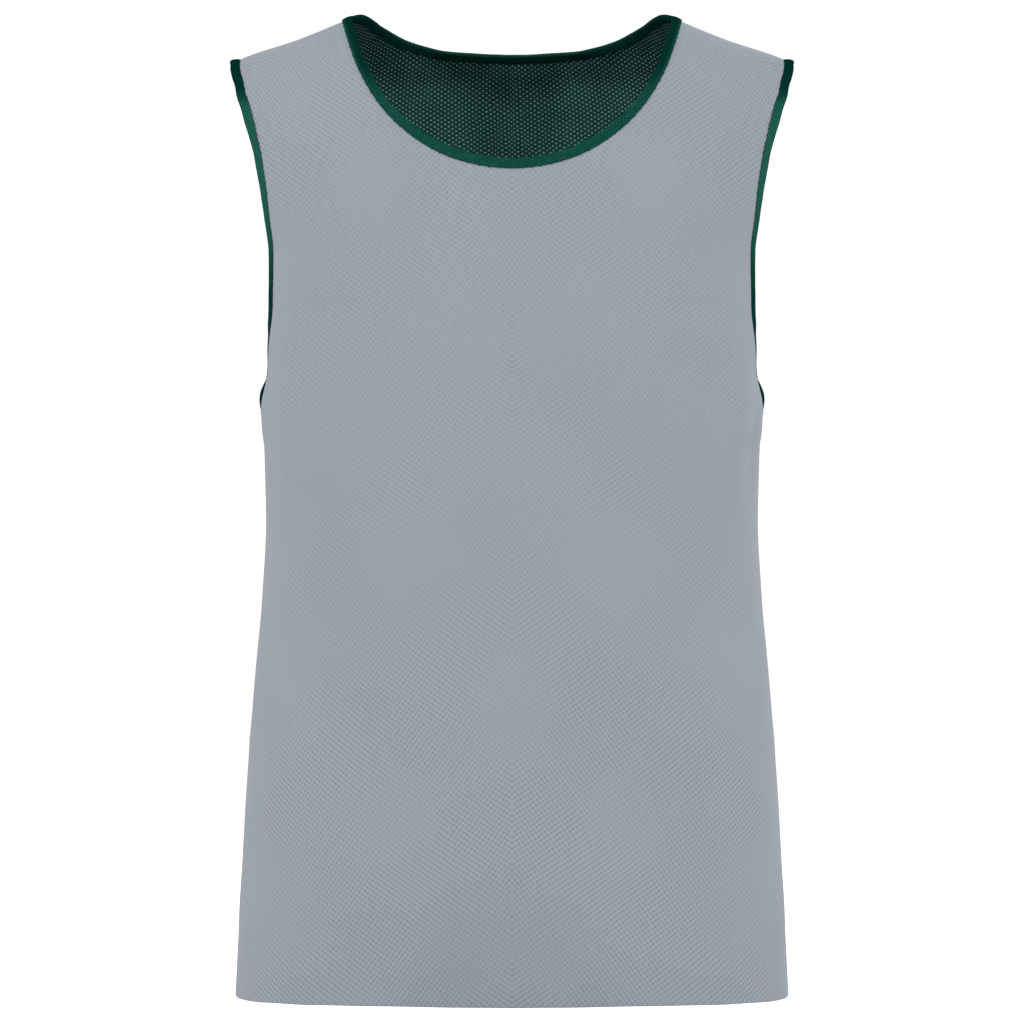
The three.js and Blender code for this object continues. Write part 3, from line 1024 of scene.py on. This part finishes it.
def binding_tones(g, uv, v):
    """The binding's darker yarn (random tone and painted shade), its painted light, and the painted shade
    of its inner side
    """
    place = g.node("ShaderNodeSeparateXYZ")
    g.feed(place.inputs[0], g.node("ShaderNodeTexCoord").outputs["Object"])
    # Distance from the centre line and height, in metres
    beside, up = g.math("ABSOLUTE", place.outputs[0]), place.outputs[2]

    dark = g.ramp(g.noise(uv, 0.25, 3.0), 0.3, 0.7, 0.0, 0.35)
    # Painted shade near the shoulders, stronger towards the fold
    outward = g.ramp(beside, 0.03, 0.105, 0.3, 1.0)
    near_shoulder = g.product(g.ramp(up, -0.075, -0.035, 0.0, 0.95), outward)
    to_fold = g.ramp(v, 0.8, 3.6, 0.3, 1.0)
    dark = g.math("MAXIMUM", dark, g.product(near_shoulder, to_fold))
    # Painted shade at the armhole bands' upper and lower ends, and low down on every strip
    on_armhole = g.ramp(beside, 0.14, 0.16)
    ends = g.total(g.ramp(up, -0.071, -0.050, 0.0, 0.95), g.ramp(up, -0.15, -0.21, 0.0, 0.82))
    dark = g.math("MAXIMUM", dark, g.product(ends, on_armhole))
    dark = g.math("MAXIMUM", dark, g.ramp(up, -0.238, -0.262, 0.0, 0.95))

    # Painted light on the armhole bands between their shaded ends
    lit = g.product(g.ramp(up, -0.058, -0.070), g.ramp(up, -0.185, -0.135), on_armhole)

    # Painted shade on the inner side past the fold
    in_neck = g.ramp(beside, 0.05, 0.085, 0.88, 0.05)
    in_armhole = g.ramp(beside, 0.122, 0.128, 0.0, 0.88)
    past_fold = g.ramp(v, FOLD_AT + 0.6, FOLD_AT + 2.8)
    painted_shade_inside = g.product(past_fold, g.math("MAXIMUM", in_neck, in_armhole))
    return dark, lit, painted_shade_inside


def binding_mesh():
    """Dark green mesh folded into a strip: small dark holes in staggered rows along it"""
    g = Graph("binding_mesh")
    uv, u, v = g.cloth()
    dark, lit, painted_shade_inside = binding_tones(g, uv, v)
    yarn = g.mix(lit, g.mix(dark, BINDING_GREEN, BINDING_DARK), BINDING_LIT)
    hole = g.ramp(g.lattice(u, v, BINDING_HOLES), 0.1, 0.75)
    patch = g.ramp(g.noise(uv, 0.11, 2.0), 0.35, 0.65, 0.45, 1.0)
    colour = g.mix(g.product(hole, patch, 0.85), yarn, BINDING_DARK)
    # Painted highlight: pale spots in patches along the fold's rim
    on_fold = g.ramp(g.math("ABSOLUTE", g.math("SUBTRACT", v, FOLD_AT)), 0.3, 1.1, 1.0, 0.0)
    spot = g.ramp(g.ripple(u, HIGHLIGHT_SPOTS, "COSINE"), 0.55, 0.95)
    highlight_patches = g.ramp(g.noise(uv, 0.02, 1.0), 0.42, 0.58)
    colour = g.mix(g.product(on_fold, spot, highlight_patches, 0.8), colour, BINDING_HIGHLIGHT)
    colour = g.mix(painted_shade_inside, colour, BINDING_INSIDE)
    rib, weft = g.ripple(v, GREEN_RIB), g.ripple(u, BINDING_WEFT)
    height = g.total(g.product(hole, -1.0), g.product(rib, 0.2), g.product(weft, 0.15))
    g.bump(height, BINDING_RELIEF, 0.9)
    return g.finish(colour, 0.8, 0.0, 0.0)


def make_stitches(seams, material):
    """Small bar stitches across the seam edge of each binding, unevenly long"""
    vertices, faces = [], []
    rings, sides = STITCH_RINGS, STITCH_SIDES
    for point, normal, across in seams:
        length = running_length(point)
        spots = np.arange(4.0, length[-1] - 3, STITCH_PITCH)
        spots = spots + 0.9 * wave(spots, 0.6)
        for s in spots:
            i = int(np.searchsorted(length, s))
            if abs(point[i][0]) > 150 and armhole_curl(point[i][2], point[i][1]) > 0.02:
                continue
            out, up = across[i], normal[i]
            along = np.cross(out, up)
            reach = STITCH_REACH + 0.45 * float(wave(s * 3.7, 2.0))
            base = len(vertices)
            for r in range(rings):
                t = r / (rings - 1)
                radius = STITCH_RADIUS * math.sin(math.pi * (0.12 + 0.76 * t))
                middle = point[i] + out * lerp(-reach, -0.15, t) + up * (0.05 + 0.45 * t)
                for k in range(sides):
                    a = 2 * math.pi * k / sides
                    vertices.append(middle + (along * math.cos(a) * 1.3 + up * math.sin(a)) * radius)
            for r in range(rings - 1):
                for k in range(sides):
                    m = (k + 1) % sides
                    low, high = base + r * sides, base + (r + 1) * sides
                    faces.append([low + k, low + m, high + m, high + k])
            faces.append([base + k for k in range(sides)][::-1])
            faces.append([base + (rings - 1) * sides + k for k in range(sides)])
    uv = {"Cloth": np.zeros((sum(len(face) for face in faces), 2))}
    make_object("binding_stitches", vertices, faces, uv, material)


FLAT = {side: flat_piece(side) for side in ("front", "back")}

GREY_MESH = grey_mesh()
GREEN_MESH = green_mesh()
BINDING_MESH = binding_mesh()

for side in ("front", "back"):
    make_panel(side, "outer", GREY_MESH)
    make_panel(side, "inner", GREEN_MESH)

MIRROR = np.array([-1, 1, 1])
seams = []
for side, phase in (("front", 0.3), ("back", 2.2)):
    point, normal = seam_points(side, "neck")
    whole = np.vstack([(point * MIRROR)[:0:-1], point])
    whole[[0, -1], 1] = 0
    whole_normal = np.vstack([(normal * MIRROR)[:0:-1], normal])
    name, kind, node = f"neck_band_{side}", f"neck_{side}", f"neck_binding_{side}"
    seams.append(make_strip(name, kind, whole, whole_normal, FACING[side], BINDING_MESH, node, phase))

front, front_normal = seam_points("front", "armhole", 240)
back, back_normal = seam_points("back", "armhole", 240)
front[[0, -1], 1] = 0
ring = np.vstack([front, back[-2:0:-1]])
ring_normal = np.vstack([front_normal, back_normal[-2:0:-1]])
for name, flip, turn in (("right", np.ones(3), 1), ("left", MIRROR, -1)):
    band, node = f"armhole_band_{name}", f"armhole_binding_{name}"
    point, normal = ring * flip, ring_normal * flip
    seams.append(make_strip(band, "armhole", point, normal, turn, BINDING_MESH, node, 1.1))
make_stitches(seams, BINDING_MESH)


# Lamps: name, place and size in metres, and power in watts
LAMPS = (
    ("left", (-2.6, -1.4, 0.5), 1.0, 21),
    ("right", (2.6, -1.4, 0.5), 1.0, 19),
    ("top", (0, -1.6, 2.4), 1.5, 22),
    ("back", (0.9, 2.8, 0.9), 1.6, 28),
)


def make_camera():
    """Level camera in front, at the photo's angle"""
    data = bpy.data.cameras.new("camera")
    data.lens = FOCAL_LENGTH
    data.sensor_width = SENSOR_WIDTH
    data.clip_end = 60
    camera = bpy.data.objects.new("camera", data)
    camera.location = (0, -CAMERA_DISTANCE, CAMERA_Z)
    camera.rotation_euler = (math.pi / 2, 0, 0)
    bpy.context.scene.collection.objects.link(camera)
    bpy.context.scene.camera = camera


def make_light():
    """Soft studio light: white surroundings and four square lamps aimed at the bib"""
    world = bpy.data.worlds.new("studio")
    world.use_nodes = True
    background = world.node_tree.nodes["Background"]
    background.inputs["Color"].default_value = (1, 1, 1, 1)
    background.inputs["Strength"].default_value = SURROUNDINGS
    bpy.context.scene.world = world
    bpy.context.scene.view_settings.view_transform = "Standard"
    for name, place, size, power in LAMPS:
        lamp = bpy.data.lights.new(name, "AREA")
        lamp.size = size
        lamp.energy = power
        holder = bpy.data.objects.new(name, lamp)
        holder.location = place
        aim = np.array([0, 0, AIM_Z]) - np.array(place)
        tilt = math.acos(-aim[2] / np.linalg.norm(aim))
        holder.rotation_euler = (tilt, 0, math.atan2(aim[1], aim[0]) - math.pi / 2)
        bpy.context.scene.collection.objects.link(holder)


def make_floor():
    """Plain pale floor"""
    mesh = bpy.data.meshes.new("floor")
    corners = [(x * FLOOR_HALF, y * FLOOR_HALF, FLOOR_Z) for x, y in ((-1, -1), (1, -1), (1, 1), (-1, 1))]
    mesh.from_pydata(corners, [], [(0, 1, 2, 3)])
    mesh.materials.append(Graph("pale_floor").finish(FLOOR, 0.9, 0.0))
    floor = bpy.data.objects.new("floor", mesh)
    bpy.context.scene.collection.objects.link(floor)


make_camera()
make_light()
make_floor()
